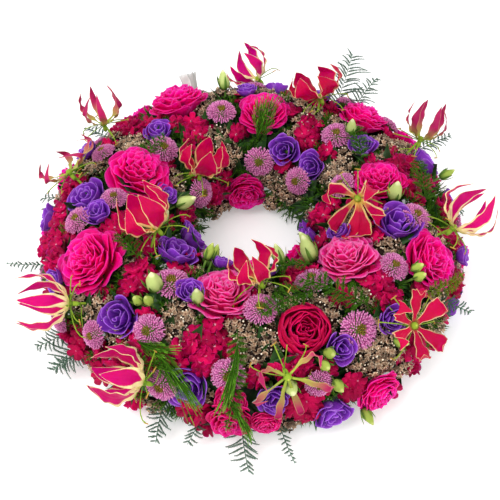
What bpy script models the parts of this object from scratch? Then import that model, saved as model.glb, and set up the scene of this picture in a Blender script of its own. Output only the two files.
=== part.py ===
"""A round funeral wreath: flower heads and fern fronds pushed by their stems into a ring of floral foam
that sits in a moulded tray. Metres, +Z up, origin at the ring's centre on the surface it lies on."""

import math

import bmesh
import bpy
from mathutils import Matrix, Vector

# Driving dimensions of the ring
RING_RADIUS = 0.154  # centre of the tray to the middle of the foam
CORE_HEIGHT = 0.031  # height of the foam's middle, which every stem points at
FOAM_WIDTH = 0.068
FOAM_TOP = 0.060
FOAM_CHAMFER = 0.012
TRAY_WALL = 0.0025
TRAY_HEIGHT = 0.016
TRAY_STEP = 0.003  # height of the tray's bead round each rim
GAP = 0.0003  # fitted pieces and stems in their sockets keep this clearance
RING_STEPS = 40

# The flowered surface is a dome over the ring: an ellipse about the foam's middle
DOME_HALF_WIDTH = 0.096
DOME_HEIGHT = 0.082
STEM_FOOT = 0.016  # distance of each stem's cut end from the foam's middle
HEAD_STEPS = 8

# Stem radius of each kind
ROSE_STEM = 0.0028
SOFT_STEM = 0.0022
GLORIOSA_STEM = 0.0018
FROND_STEM = 0.0016

# Each head is (angle round the ring, lean, width, lift). The angle is 0 at +X and 90 at +Y. The lean is
# 0 on the outer edge, 90 on top and 180 on the edge of the hole. The lift raises it off the dome.
ROSES = (
    (119, 66, 0.072, 0.002),
    (165, 104, 0.072, 0.002),
    (208, 66, 0.070, 0.002),
    (84, 99, 0.062, 0.000),
    (45, 62, 0.062, 0.000),
    (97, 174, 0.050, -0.006),
    (258, 103, 0.066, -0.004),
    (318, 104, 0.062, 0.000),
    (336, 55, 0.064, 0.000),
    (8, 96, 0.056, 0.000),
    (286, 71, 0.060, 0.002),
    (265, 12, 0.046, 0.000),
    (301, 7, 0.046, 0.000),
)
LISIANTHUS = (
    (179, 70, 0.046, -0.002),
    (178, 22, 0.036, 0.000),
    (229, 56, 0.040, -0.002),
    (136, 88, 0.036, -0.004),
    (221, 122, 0.044, -0.002),
    (66, 129, 0.038, 0.000),
    (42, 131, 0.038, 0.000),
    (345, 85, 0.050, 0.002),
    (22, 35, 0.038, 0.000),
    (289, 3, 0.040, 0.000),
    (254, 31, 0.044, -0.004),
)
CHRYSANTHEMUMS = (
    (105, 96, 0.034, 0.002),
    (84, 142, 0.034, 0.000),
    (240, 59, 0.030, 0.002),
    (236, 96, 0.034, -0.002),
    (298, 107, 0.031, -0.004),
    (301, 59, 0.034, 0.002),
    (44, 99, 0.034, 0.002),
)
SEDUM = (
    (148, 78, 0.040, -0.008),
    (100, 40, 0.046, -0.008),
    (26, 123, 0.042, -0.008),
    (307, 31, 0.044, -0.006),
)
DIANTHUS = (
    (138, 42, 0.040, -0.008),
    (197, 30, 0.034, -0.008),
    (257, 63, 0.042, -0.004),
    (60, 99, 0.030, -0.006),
)
# Each gloriosa is (angle, lean, lift, heading and rise of the swept-back petals, spread, sweep). Heading
# is a compass angle like the first one, rise is above the horizon, and the last two are in metres.
GLORIOSAS = (
    (147, 58, 0.012, 120, 72, 0.022, 0.044),
    (171, 59, 0.010, 150, 45, 0.042, 0.024),
    (88, 30, 0.012, 170, 48, 0.024, 0.042),
    (61, 80, 0.010, 130, 60, 0.030, 0.034),
    (143, 137, 0.014, 60, 70, 0.024, 0.040),
    (214, 108, 0.020, 160, 50, 0.026, 0.044),
    (217, 44, 0.010, 190, 12, 0.024, 0.054),
    (245, 34, 0.016, 175, 26, 0.026, 0.048),
    (273, 101, 0.014, 140, 62, 0.022, 0.036),
    (278, 48, 0.018, 285, 12, 0.038, 0.022),
    (348, 109, 0.022, 250, 14, 0.032, 0.044),
    (313, 46, 0.014, 312, 46, 0.038, 0.020),
    (348, 52, 0.012, 34, 30, 0.032, 0.052),
    (25, 52, 0.012, 60, 60, 0.020, 0.046),
)
# Each frond is (angle, lean, reach from the foam's middle, blade width)
FRONDS = (
    (267, -6, 0.130, 0.034),
    (94, -6, 0.132, 0.034),
    (193, 12, 0.128, 0.018),
    (217, -5, 0.118, 0.040),
    (59, 48, 0.146, 0.036),
)
FROND_THICKNESS = 0.0016

HUB_RADIUS = 0.0052
HUB_DEPTH = 0.0050
# Each stage of a gloriosa petal is (share of the spread, share of the sweep, half width, half thickness)
PETAL_STAGES = (
    (0.62, 0.18, 0.0048, 0.0012),
    (1.00, 0.60, 0.0056, 0.0012),
    (0.92, 1.00, 0.0012, 0.0009),
)

COLOURS = {
    "tray": ((0.02, 0.05, 0.02), 0.45),
    "foam": ((0.03, 0.16, 0.06), 0.95),
    "rose": ((0.80, 0.01, 0.17), 0.55),
    "lisianthus": ((0.13, 0.02, 0.42), 0.55),
    "chrysanthemum": ((0.50, 0.13, 0.46), 0.60),
    "sedum": ((0.42, 0.24, 0.17), 0.70),
    "dianthus": ((0.62, 0.01, 0.16), 0.60),
    "gloriosa": ((0.70, 0.01, 0.06), 0.50),
    "frond": ((0.03, 0.15, 0.03), 0.60),
}


def clear_scene():
    for obj in list(bpy.data.objects):
        bpy.data.objects.remove(obj)


def new_collection(name):
    made = bpy.data.collections.new(name)
    bpy.context.scene.collection.children.link(made)
    return made


def finish_of(kind):
    """The material of a kind of piece, made once."""
    found = bpy.data.materials.get(kind)
    if found:
        return found
    colour, roughness = COLOURS[kind]
    made = bpy.data.materials.new(kind)
    made.use_nodes = True
    shader = made.node_tree.nodes["Principled BSDF"]
    shader.inputs["Base Color"].default_value = (*colour, 1)
    shader.inputs["Roughness"].default_value = roughness
    shader.inputs["Metallic"].default_value = 0
    return made


def add_object(name, data, collection, kind=None):
    made = bpy.data.objects.new(name, data)
    collection.objects.link(made)
    if kind:
        data.materials.append(finish_of(kind))
    return made


def dome_reach(lean):
    """Distance from the foam's middle to the flowered dome at this lean."""
    angle = math.radians(lean)
    return math.hypot(DOME_HALF_WIDTH * math.cos(angle), DOME_HEIGHT * math.sin(angle))


def stem_frame(around, lean):
    """The frame of a stem: origin at the foam's middle, +Z out along the stem."""
    dome = math.radians(lean)
    slope = math.atan2(DOME_HEIGHT * math.sin(dome), DOME_HALF_WIDTH * math.cos(dome))
    turn = Matrix.Rotation(math.radians(around), 4, "Z")
    core = turn @ Matrix.Translation((RING_RADIUS, 0, CORE_HEIGHT))
    return core @ Matrix.Rotation(math.pi / 2 - slope, 4, "Y")


def turned(name, profile, steps, collection, kind, closed=False):
    """A solid of revolution about local Z. The profile is (radius, height) down its outer side."""
    count = len(profile)
    edges = [(i, i + 1) for i in range(count - 1)]
    if closed:
        edges.append((count - 1, 0))
    mesh = bpy.data.meshes.new(name)
    mesh.from_pydata([(radius, 0, height) for radius, height in profile], edges, [])
    made = add_object(name, mesh, collection, kind)
    screw = made.modifiers.new("turn", "SCREW")
    screw.steps = steps
    screw.render_steps = steps
    screw.use_merge_vertices = True
    screw.merge_threshold = 0.0001
    screw.use_smooth_shade = not closed
    return made


def tray(collection):
    """An annular channel with a flat underside and a small bead on both rims."""
    inner = RING_RADIUS - FOAM_WIDTH / 2 - GAP - TRAY_WALL
    outer = RING_RADIUS + FOAM_WIDTH / 2 + GAP + TRAY_WALL
    bead = TRAY_WALL / 2
    profile = (
        (outer - TRAY_WALL, TRAY_HEIGHT),
        (outer + bead, TRAY_HEIGHT),
        (outer + bead, TRAY_HEIGHT - TRAY_STEP),
        (outer, TRAY_HEIGHT - TRAY_STEP),
        (outer, 0),
        (inner, 0),
        (inner, TRAY_HEIGHT - TRAY_STEP),
        (inner - bead, TRAY_HEIGHT - TRAY_STEP),
        (inner - bead, TRAY_HEIGHT),
        (inner + TRAY_WALL, TRAY_HEIGHT),
        (inner + TRAY_WALL, TRAY_WALL),
        (outer - TRAY_WALL, TRAY_WALL),
    )
    return turned("base_tray", profile, RING_STEPS, collection, "tray", closed=True)


def foam(collection, sockets):
    """The foam block, chamfered on top, with a socket for every stem."""
    inner = RING_RADIUS - FOAM_WIDTH / 2
    outer = RING_RADIUS + FOAM_WIDTH / 2
    bottom = TRAY_WALL + GAP
    profile = (
        (inner + FOAM_CHAMFER, FOAM_TOP),
        (outer - FOAM_CHAMFER, FOAM_TOP),
        (outer, FOAM_TOP - FOAM_CHAMFER),
        (outer, bottom),
        (inner, bottom),
        (inner, FOAM_TOP - FOAM_CHAMFER),
    )
    made = turned("foam_ring", profile, RING_STEPS, collection, "foam", closed=True)
    cut = made.modifiers.new("stem sockets", "BOOLEAN")
    cut.object = sockets
    return made


def all_stems():
    """(frame, stem radius) of every stem in the foam."""
    kinds = (
        (ROSES, ROSE_STEM),
        (LISIANTHUS, SOFT_STEM),
        (CHRYSANTHEMUMS, SOFT_STEM),
        (SEDUM, SOFT_STEM),
        (DIANTHUS, SOFT_STEM),
        (GLORIOSAS, GLORIOSA_STEM),
        (FRONDS, FROND_STEM),
    )
    return [(stem_frame(*row[:2]), radius) for rows, radius in kinds for row in rows]


def stem_sockets(collection):
    """One cutter: a round pocket for each stem, open past the foam's surface."""
    pocket_sides = 6
    start, end = STEM_FOOT - GAP, FOAM_WIDTH / 2 + 0.012
    shapes = bmesh.new()
    for frame, radius in all_stems():
        clear = (radius + GAP) / math.cos(math.pi / pocket_sides)
        bmesh.ops.create_cone(
            shapes,
            cap_ends=True,
            segments=pocket_sides,
            radius1=clear,
            radius2=clear,
            depth=end - start,
            matrix=frame @ Matrix.Translation((0, 0, (start + end) / 2)),
        )
    mesh = bpy.data.meshes.new("stem_sockets")
    shapes.to_mesh(mesh)
    shapes.free()
    made = add_object("stem_sockets", mesh, collection)
    made.hide_render = True
    made.display_type = "WIRE"
    return made


def head(name, kind, row, stem_radius, outline, collection):
    """A flower head on its stem. The outline is (share of the head's radius, metres below its face)."""
    around, lean, width, lift = row
    face = dome_reach(lean) + lift
    profile = [(share * width / 2, face - depth) for share, depth in outline]
    neck = profile[-1][1] - 0.004
    profile += [(stem_radius, neck), (stem_radius, STEM_FOOT), (0, STEM_FOOT)]
    made = turned(name, profile, HEAD_STEPS, collection, kind)
    made.matrix_world = stem_frame(around, lean)
    return made


def rose_outline(width):
    """A full head: a low spiral bud in the middle, rounded guard petals and a calyx."""
    deep = 0.50 * width
    return (
        (0.00, 0.000),
        (0.42, 0.001),
        (0.80, 0.12 * deep),
        (1.00, 0.38 * deep),
        (0.86, 0.70 * deep),
        (0.36, deep),
    )


def lisianthus_outline(width):
    """A ruffled cup, dimpled in the middle and drawn in to its calyx."""
    deep = 0.62 * width
    return (
        (0.00, 0.10 * width),
        (0.55, 0.02 * width),
        (0.92, 0.000),
        (1.00, 0.16 * deep),
        (0.74, 0.60 * deep),
        (0.26, deep),
    )


def chrysanthemum_outline(width):
    """A domed button of narrow florets over a flat green bract."""
    deep = 0.40 * width
    return (
        (0.00, 0.06 * width),
        (0.30, 0.000),
        (0.80, 0.10 * width),
        (1.00, 0.65 * deep),
        (0.45, deep),
    )


def cluster_outline(width):
    """A flat-topped cluster of small florets drawn together on short stalks."""
    deep = 0.52 * width
    return (
        (0.00, 0.000),
        (0.60, 0.05 * width),
        (1.00, 0.22 * width),
        (0.80, 0.60 * deep),
        (0.24, deep),
    )


def heads_of(kind, rows, stem_radius, outline_of, collection):
    for number, row in enumerate(rows, 1):
        name = f"{kind}_{number:02d}"
        head(name, kind, row, stem_radius, outline_of(row[2]), collection)


def sweep_frame(heading, rise):
    """A rotation whose +Z is the way the petals are swept back."""
    turn = Matrix.Rotation(math.radians(heading), 4, "Z")
    return turn @ Matrix.Rotation(math.pi / 2 - math.radians(rise), 4, "Y")


def petals(shapes, spread, sweep):
    """Six narrow petals extruded from the sides of a hub: outwards first, then back along +Z."""
    bmesh.ops.create_cone(
        shapes,
        cap_ends=True,
        segments=6,
        radius1=HUB_RADIUS,
        radius2=HUB_RADIUS,
        depth=HUB_DEPTH,
    )
    for side in [face for face in shapes.faces if abs(face.normal.z) < 0.5]:
        outward = side.normal.copy()
        across = Vector((-outward.y, outward.x, 0))
        face = side
        for spread_share, sweep_share, half_width, half_thickness in PETAL_STAGES:
            before = face.calc_center_median()
            centre = outward * spread * spread_share + Vector((0, 0, sweep * sweep_share))
            over = across.cross(centre - before).normalized()
            face = bmesh.ops.extrude_discrete_faces(shapes, faces=[face])["faces"][0]
            for vertex in face.verts:
                offset = vertex.co - before
                wide = math.copysign(half_width, offset.dot(across))
                thick = math.copysign(half_thickness, offset.dot(over))
                vertex.co = centre + across * wide + over * thick


def gloriosa(number, row, collection, helpers):
    """A flame lily: a thin stem joined to a hub with six swept-back petals."""
    around, lean, lift, heading, rise, spread, sweep = row
    name = f"gloriosa_{number:02d}"
    frame = stem_frame(around, lean)
    hub = dome_reach(lean) + lift
    stem_mesh = bmesh.new()
    bmesh.ops.create_cone(
        stem_mesh,
        cap_ends=True,
        segments=6,
        radius1=GLORIOSA_STEM,
        radius2=GLORIOSA_STEM,
        depth=hub - STEM_FOOT,
        matrix=frame @ Matrix.Translation((0, 0, (hub + STEM_FOOT) / 2)),
    )
    stem_data = bpy.data.meshes.new(name + "_stem")
    stem_mesh.to_mesh(stem_data)
    stem_mesh.free()
    stem = add_object(name + "_stem", stem_data, helpers)
    stem.hide_render = True
    stem.display_type = "WIRE"
    shapes = bmesh.new()
    petals(shapes, spread, sweep)
    bmesh.ops.transform(
        shapes,
        matrix=Matrix.Translation(frame @ Vector((0, 0, hub))) @ sweep_frame(heading, rise),
        verts=shapes.verts,
    )
    mesh = bpy.data.meshes.new(name)
    shapes.to_mesh(mesh)
    shapes.free()
    made = add_object(name, mesh, collection, "gloriosa")
    join = made.modifiers.new("stem", "BOOLEAN")
    join.operation = "UNION"
    join.object = stem
    return made


def frond(number, row, collection):
    """A flat fern blade on its stalk, drawn as one outline along local X."""
    around, lean, reach, width = row
    name = f"fern_frond_{number:02d}"
    half = width / 2
    stalk = FROND_STEM * 0.8
    start = FOAM_WIDTH / 2 + 0.022
    length = reach - start
    upper = (
        (STEM_FOOT, stalk),
        (start, stalk),
        (start + 0.10 * length, 0.70 * half),
        (start + 0.30 * length, half),
        (start + 0.60 * length, 0.72 * half),
        (reach, 0.0012),
    )
    points = list(upper) + [(x, -y) for x, y in reversed(upper)]
    data = bpy.data.curves.new(name, "CURVE")
    data.dimensions = "2D"
    data.fill_mode = "BOTH"
    data.extrude = FROND_THICKNESS / 2
    spline = data.splines.new("POLY")
    spline.points.add(len(points) - 1)
    for point, (x, y) in zip(spline.points, points):
        point.co = (x, y, 0, 1)
    spline.use_cyclic_u = True
    made = add_object(name, data, collection, "frond")
    made.matrix_world = stem_frame(around, lean) @ Matrix.Rotation(-math.pi / 2, 4, "Y")
    return made


def main():
    clear_scene()
    wreath = new_collection("funeral_wreath")
    helpers = new_collection("cutters")
    tray(wreath)
    foam(wreath, stem_sockets(helpers))
    heads_of("rose", ROSES, ROSE_STEM, rose_outline, wreath)
    heads_of("lisianthus", LISIANTHUS, SOFT_STEM, lisianthus_outline, wreath)
    heads_of("chrysanthemum", CHRYSANTHEMUMS, SOFT_STEM, chrysanthemum_outline, wreath)
    heads_of("sedum", SEDUM, SOFT_STEM, cluster_outline, wreath)
    heads_of("dianthus", DIANTHUS, SOFT_STEM, cluster_outline, wreath)
    for number, row in enumerate(GLORIOSAS, 1):
        gloriosa(number, row, wreath, helpers)
    for number, row in enumerate(FRONDS, 1):
        frond(number, row, wreath)


main()
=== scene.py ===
"""The looks of a round funeral wreath: every rose, lisianthus, flame lily, button chrysanthemum, floret, bud,
leaf and fern frond as petals and blades, set into a bed of leaves over the foam ring and its tray."""

import random
from functools import partial
from math import atan2, cos, exp, floor, hypot, pi, radians, sin, sqrt, tau

import bmesh
import bpy
import numpy as np
from mathutils import Matrix, Vector


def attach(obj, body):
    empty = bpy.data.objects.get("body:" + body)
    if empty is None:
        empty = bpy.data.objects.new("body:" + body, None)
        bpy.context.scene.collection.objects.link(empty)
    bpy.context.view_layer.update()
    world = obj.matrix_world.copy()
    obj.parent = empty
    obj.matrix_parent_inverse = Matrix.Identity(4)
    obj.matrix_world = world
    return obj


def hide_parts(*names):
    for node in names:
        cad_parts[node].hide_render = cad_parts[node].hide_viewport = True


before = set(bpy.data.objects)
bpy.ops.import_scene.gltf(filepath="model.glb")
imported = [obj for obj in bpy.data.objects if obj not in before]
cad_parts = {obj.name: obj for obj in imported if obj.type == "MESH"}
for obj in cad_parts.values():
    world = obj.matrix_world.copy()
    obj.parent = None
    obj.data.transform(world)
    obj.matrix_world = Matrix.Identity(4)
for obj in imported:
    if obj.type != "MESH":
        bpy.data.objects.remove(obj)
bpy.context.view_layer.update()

# The ring that every stem is set into, in metres
FOAM_POINTS = np.array([v.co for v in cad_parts["foam_ring"].data.vertices])
FOAM_RADII = np.hypot(FOAM_POINTS[:, 0], FOAM_POINTS[:, 1])
RING_RADIUS = float(FOAM_RADII.min() + FOAM_RADII.max()) / 2
CORE_HEIGHT = 0.031  # every stem points at the middle of the foam
STEM_FOOT = 0.016  # distance of each stem's cut end from there
FOOT_BAND = 0.002  # points this near to the lowest belong to a stem's cut end
# The frame's flame lilies: how far the hub is past the stem's end, the room that the hub and the stem take
# beside the petals, and the least length of the stem
HUB_LIFT = 0.003
HUB_ROOM = 0.009
STEM_ROOM = 0.004
STEM_LEAST = 0.010

# The dome of flowers: half of its width and its height above the middle of the foam
DOME_HALF_WIDTH = 0.096
DOME_HEIGHT = 0.082
GROUND_CLEARANCE = 0.0012
GROUND_CREASE = 0.04  # a point that would sink is laid above the clearance by this share of its depth

# The front view: how high it looks down from, the way to the camera and the way down in the view
CAMERA_RISE = radians(50.3)
TO_CAMERA = Vector((0, -cos(CAMERA_RISE), sin(CAMERA_RISE)))
VIEW_DOWN = Vector((0, -sin(CAMERA_RISE), -cos(CAMERA_RISE)))

UP = Vector((0, 0, 1))
GOLDEN_ANGLE = pi * (3 - sqrt(5))
FAN_TURN = radians(15)  # sets a flame lily's petals evenly across the front view
PETAL_WALL = 0.00035
NEEDLE_WIDTH = 0.0009
NEEDLE_PITCH = 0.00055  # of fern

# The frame's roses that aren't pink
ROSE_COLORS = {
    "rose_07": "rose light", "rose_08": "rose light", "rose_11": "rose crimson", "rose_12": "rose deep",
}
BALLED_ROSE = "rose_11"  # its petals still turn in
BALLED_WIDTH = 0.83  # the share of its full width that this leaves
# Blooms between those of the frame, each (angle round the ring, lean from its outer side, width in millimetres)
SPRAY_ROSES = ((265, 28, 34), (273, 10, 34))
LISIANTHUS = (
    (190, 80, 36), (205, 35, 32), (155, 45, 34), (174, 126, 30), (205, 150, 44), (246, 92, 34),
    (92, 72, 30), (332, 120, 34), (30, 92, 36), (294, 53, 34), (275, 30, 36), (311, 52, 36),
    (279, 125, 28), (347, 25, 28), (248, 135, 28),
)
CHRYSANTHEMUMS = (
    (144, 106, 36), (45, 147, 34), (190, 65, 34), (146, 152, 36), (273, 88, 35), (248, 28, 34),
    (264, 45, 34), (325, 75, 32), (13, 122, 33), (213, 18, 30), (350, 73, 34), (183, 91, 30),
    (158, 68, 30), (55, 50, 30), (40, 42, 30), (226, 35, 30), (286, 35, 28),
)
BUDS = (
    (100, 58, 26), (174, 140, 28), (40, 90, 24), (358, 88, 28), (15, 32, 20), (233, 71, 18),
    (236, 74, 18), (233, 85, 30), (239, 130, 20), (242, 133, 18), (250, 88, 22), (309, 40, 20),
    (288, 47, 18), (290, 53, 20), (326, 60, 18), (328, 64, 18), (290, 33, 20), (297, -5, 20),
    (308, 125, 32), (318, 138, 22), (292, 140, 24), (279, 38, 24), (200, 120, 22),
)
CLOSED_BLOOM = ((111, 47, 32),)
GREEN_BUD_BELOW = 21  # narrower buds are still green
CRIMSON_BELOW = 30  # dianthus lower on the outer side is a deeper red
# Clusters between those of the frame, each (angle round the ring, lean from its outer side), all of one width
SEDUM_WIDTH = 38
SEDUM = (
    (108, 62), (150, 84), (111, 117), (108, 135), (155, 130), (163, 62), (76, 153), (61, 161), (52, 165),
    (28, 125), (31, 67), (72, 62), (84, 62), (63, 95), (28, 55), (222, 45), (248, 66), (245, 78),
    (266, 74), (333, 85), (295, 78), (276, 67), (305, 46), (303, 28), (299, 38), (329, 30), (352, 65),
)
DIANTHUS_WIDTH = 36
DIANTHUS = (
    (119, 103), (140, 60), (58, 112), (183, 42), (189, 31), (195, 38), (172, 152), (130, 165), (18, 75),
    (3, 150), (225, 78), (223, 88), (254, 62), (257, 50), (240, 44), (256, 8), (221, 10), (230, 5), (238, 8),
    (317, 75), (338, 20), (284, 25), (283, 10), (315, 25), (295, 21), (279, 20),
)
# Flame lilies, each (finish, petal width in millimetres, share of the spread, how far its petals are drawn
# round to its front, or below 0 to its back)
FLAME_LILIES = (
    ("lily dusty", 9.5, 1.00, 0), ("lily dusty", 9, 1.00, -0.55), ("lily striped", 15, 1.05, 0),
    ("lily red", 26, 1.00, 0), ("lily", 24, 0.95, 0), ("lily", 23, 0.95, 0),
    ("lily striped", 13, 1.05, 0), ("lily striped", 20, 0.95, 0), ("lily", 17, 1.00, 0),
    ("lily dusty", 7.5, 1.00, 0.5), ("lily", 16.5, 1.00, 0.62), ("lily red", 17.5, 0.84, 0),
    ("lily striped", 13.5, 0.92, 0), ("lily dusty", 11, 1.00, 0),
)
# Soft brushes of needles laid over the flowers: (angle, lean, compass heading, length, width in millimetres)
BRUSHES = (
    (250, 44, 304, 88, 26), (244, 50, 330, 52, 22), (266, 48, 266, 74, 13),
    (267, 24, 280, 56, 11), (82, 108, 84, 60, 28), (84, 112, 72, 50, 24),
)
# Fern laid over the flowers: (angle, lean, compass heading, length, width in millimetres)
PLUMES = (
    (267, 50, 272, 95, 20), (285, 92, 200, 60, 30),
    (303, 83, 150, 70, 34), (293, 118, 170, 50, 30),
    (5, 68, 100, 60, 36), (30, 95, 90, 50, 28),
    (330, 40, 5, 70, 18), (150, 100, 60, 40, 24),
    (240, 40, 318, 70, 24), (214, 92, 120, 40, 28),
)
OLIVE_PLUME = 7  # the one of these that is olive
# How wide each frond of the frame is, in times how far its solid reaches from its stem's line
FROND_WIDTHS = (2.3, 2.4, 2.0, 2.6, 3.4)
# Fern standing out from the rim: (angle, lean, reach from the middle of the foam and width in millimetres)
RIM_FERNS = (
    (28, 35, 130, 26), (213, -4, 120, 30), (222, 2, 118, 26), (247, -4, 118, 26),
    (258, -2, 112, 22), (276, -6, 124, 12), (330, 30, 120, 24), (52, 55, 128, 30),
    (140, 20, 120, 24), (112, -4, 124, 30), (75, 2, 122, 30), (40, -4, 122, 26),
    (10, -5, 118, 22), (163, 2, 116, 24),
)
# The gaps are tried at chance places, at first for large blooms too, and at last for small clusters only
TRIES = 5200
LARGE_TRIES = 1400
SMALL_FROM = 3000
HIDDEN_BELOW = 0.12  # a place that faces the front view less than this counts as out of it
# Large blooms for the gaps: the width of each, and what makes it simpler than those of the frame
LARGE = {
    "lisianthus": (0.038, {"petals": 8}),
    "chrysanthemum": (0.034, {"quills": 150}),
    "rose": (0.046, {"petals": 22}),
}
CLUSTER_WIDTH, SMALL_CLUSTER_WIDTH = 0.029, 0.021
CLUSTER_LIFT, SMALL_CLUSTER_LIFT = -0.008, -0.012
# How near blooms may stand, in times the sum of their radii: small ones, those out of the front view, the rest
SMALL_CLOSENESS, HIDDEN_CLOSENESS, CLOSENESS = 0.66, 0.80, 0.74
GAP_KINDS = ("sedum", "sprig", "dianthus", "sprig", "dianthus")  # a kind is as common as it is named here
LEAF_STRETCHES = 8
LEAVES_EACH = 156


# ---------------- places


class Chance(random.Random):
    """The seeded chance that a piece is made with."""

    def about(self, most):
        """A number no further than this from 0."""
        return self.uniform(-most, most)

    def near(self, value, share):
        """A number within this share of the value."""
        return value * self.uniform(1 - share, 1 + share)

    def angle(self):
        """An angle anywhere round, in radians."""
        return self.uniform(0, 6.3)


def polar(reach, angle, height=0.0):
    """A point this far from the axis, at this angle round it and this height."""
    return Vector((reach * cos(angle), reach * sin(angle), height))


def facing(direction):
    """A turn that brings +Z to this direction."""
    return direction.to_track_quat("Z", "Y").to_matrix().to_4x4()


def from_axes(x_axis, y_axis, z_axis, origin=(0, 0, 0)):
    """The matrix with these axes and this origin."""
    return Matrix((*zip(x_axis, y_axis, z_axis, origin), (0, 0, 0, 1)))


def spiral(count, offset=0.5):
    """(age, angle) of each petal or floret set in a spiral, with age from 0 in the middle to 1 outside."""
    return [((number + offset) / count, number * GOLDEN_ANGLE) for number in range(count)]


def ring_frame(around, lean):
    """Origin at the foam's middle, +Z square to the dome of flowers, at angles in degrees."""
    dome = radians(lean)
    slope = atan2(DOME_HEIGHT * sin(dome), DOME_HALF_WIDTH * cos(dome))
    turn = Matrix.Rotation(radians(around), 4, "Z")
    core = turn @ Matrix.Translation((RING_RADIUS, 0, CORE_HEIGHT))
    return core @ Matrix.Rotation(pi / 2 - slope, 4, "Y")


def dome_reach(lean):
    """Distance from the middle of the foam to the dome of flowers at this lean."""
    dome = radians(lean)
    return hypot(DOME_HALF_WIDTH * cos(dome), DOME_HEIGHT * sin(dome))


def dome_seat(around, lean, lift=0.0):
    """A place on the dome of flowers: origin on its surface, +Z outwards."""
    return ring_frame(around, lean) @ Matrix.Translation((0, 0, dome_reach(lean) + lift))


def faces_camera(around, lean):
    """How squarely this place on the dome faces the front view, from -1 to 1."""
    return (ring_frame(around, lean).to_3x3() @ UP).dot(TO_CAMERA)


class StemNode:
    """Where a CAD head or frond lies, read from its own mesh: its stem runs out from the foam's middle."""

    def __init__(self, node):
        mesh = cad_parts[node].data
        points = np.array([v.co for v in mesh.vertices])
        outward = np.hypot(points[:, 0], points[:, 1]) - RING_RADIUS
        reach = np.hypot(outward, points[:, 2] - CORE_HEIGHT)
        foot = points[reach < reach.min() + FOOT_BAND].mean(axis=0)
        around = atan2(foot[1], foot[0])
        self.core = np.array((RING_RADIUS * cos(around), RING_RADIUS * sin(around), CORE_HEIGHT))
        axis = foot - self.core
        self.axis = axis / np.linalg.norm(axis)
        self.tangent = np.array((-sin(around), cos(around), 0.0))
        self.points = points
        self.faces = np.array([tuple(face.vertices) for face in mesh.polygons])
        self.along = (points - self.core) @ self.axis
        self.off_axis = np.linalg.norm(points - self.core - np.outer(self.along, self.axis), axis=1)

    def matrix(self, distance):
        """+Z along the stem, origin that far from the foam's middle."""
        origin = self.core + self.axis * distance
        return from_axes(self.tangent, np.cross(self.axis, self.tangent), self.axis, origin)


def head_seat(node):
    """(matrix at the middle of the head's face, the head's width, the stem's length) of a turned CAD head."""
    stem = StemNode(node)
    return stem.matrix(stem.along.max()), 2 * float(stem.off_axis.max()), float(stem.along.max()) - STEM_FOOT


def lily_seat(node):
    """(matrix at the hub with +Z where the petals sweep, spread, sweep, the stem) of a CAD flame lily."""
    stem = StemNode(node)
    lowest = stem.along.min()
    at_foot = stem.along < lowest + FOOT_BAND
    sides = stem.faces[at_foot[stem.faces].any(axis=1)].ravel()
    stem_end = stem.along[sides[stem.along[sides] > lowest + STEM_LEAST]].mean()
    hub = stem.core + stem.axis * (stem_end + HUB_LIFT)
    away = np.linalg.norm(stem.points - hub, axis=1)
    petals = stem.points[(away > HUB_ROOM) & ((stem.along > stem_end) | (stem.off_axis > STEM_ROOM))]
    swept = (petals - hub).mean(axis=0)
    swept /= np.linalg.norm(swept)
    along = (petals - hub) @ swept
    spread = np.linalg.norm(petals - hub - np.outer(along, swept), axis=1).max()
    return Matrix.Translation(Vector(hub)) @ facing(Vector(swept)), float(spread), float(along.max()), stem


def laid_over(around, lean, heading, length):
    """Where a frond this long lies over the dome: its middle at this place, its tip towards the heading."""
    place = dome_seat(around, lean, 0.005)
    outward = place.to_3x3() @ UP
    way = polar(1, radians(heading))
    along = (way - outward * way.dot(outward)).normalized() + outward * 0.22
    third = along.normalized()
    first = outward.cross(third).normalized()
    turn = from_axes(first, third.cross(first), third)
    return Matrix.Translation(place.translation - along * length * 0.4) @ turn


# ---------------- meshes


class Shape:
    """A mesh gathered petal by petal: each is made in a small bmesh, which is joined to the whole now and then.
    Its points carry (side, rise, tone): where each lies on its petal, and the petal's tone."""

    most_points = 300

    def __init__(self):
        self.whole = bmesh.new()
        self.spare = bpy.data.meshes.new("spare")
        self.start()

    def start(self):
        """A new small bmesh."""
        self.small = bmesh.new()
        self.layer = self.small.verts.layers.float_vector.new("petal")

    def part(self):
        """The small bmesh, emptied into the whole where it is full."""
        if len(self.small.verts) > self.most_points:
            self.gather()
            self.start()
        return self.small

    def gather(self):
        """Joins the small bmesh to the whole."""
        self.small.to_mesh(self.spare)
        self.whole.from_mesh(self.spare)
        self.small.free()

    def take(self, other, matrix):
        """Joins another shape to this one, set in its place."""
        whole = other.finished()
        bmesh.ops.transform(whole, matrix=matrix, verts=whole.verts)
        whole.to_mesh(self.spare)
        self.whole.from_mesh(self.spare)
        whole.free()

    def finished(self):
        """The whole bmesh."""
        self.gather()
        bpy.data.meshes.remove(self.spare)
        return self.whole


def painted(made, material):
    """The faces that an operator made, given this material."""
    faces = list(dict.fromkeys(face for vertex in made["verts"] for face in vertex.link_faces))
    for face in faces:
        face.material_index = material
    return faces


def add_petal(shape, columns, rows, surface, tone, material=0):
    """A thin sheet with its points where surface(side, rise) puts them: side from -1 to 1, rise from 0 to 1."""
    part = shape.part()
    made = bmesh.ops.create_grid(part, x_segments=columns, y_segments=rows, size=1)
    for vertex in made["verts"]:
        side, rise = vertex.co.x, (vertex.co.y + 1) / 2
        vertex[shape.layer] = (side, rise, tone)
        vertex.co = surface(side, rise)
    sheet = painted(made, material)
    for face in sheet:
        face.normal_update()
    bmesh.ops.solidify(part, geom=sheet, thickness=PETAL_WALL)


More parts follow.
